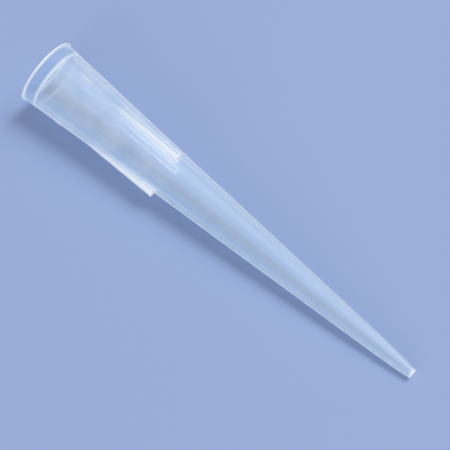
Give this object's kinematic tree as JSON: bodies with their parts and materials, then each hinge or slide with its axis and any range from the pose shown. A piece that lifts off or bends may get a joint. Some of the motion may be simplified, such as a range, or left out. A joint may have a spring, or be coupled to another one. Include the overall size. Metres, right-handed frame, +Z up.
{
  "type": "pipette tip",
  "caption": "Slender tapered pipette tip in natural translucent plastic, with a lipped mouth, stepped locating ribs round its head and a fine open point.",
  "frame": {"origin": "on the bench under the middle of the tip's length, where the tip lies on its lip and its nose with the corner of the lowest rib just clear of the bench", "axes": "+X along the tip as it lies, from the point towards the mouth; +Z up from the bench; the tip's own axis lies in the XZ plane and rises 3.65 degrees towards the mouth"},
  "size_m": [0.0512, 0.0078, 0.0078],
  "materials": {
    "natural_polypropylene": "natural, translucent, with a fine matt texture from collar to rib ends and a clear polished shank below them"
  },
  "bodies": {
    "root": {"pipette_tip": "natural_polypropylene"}
  },
  "joints": []
}
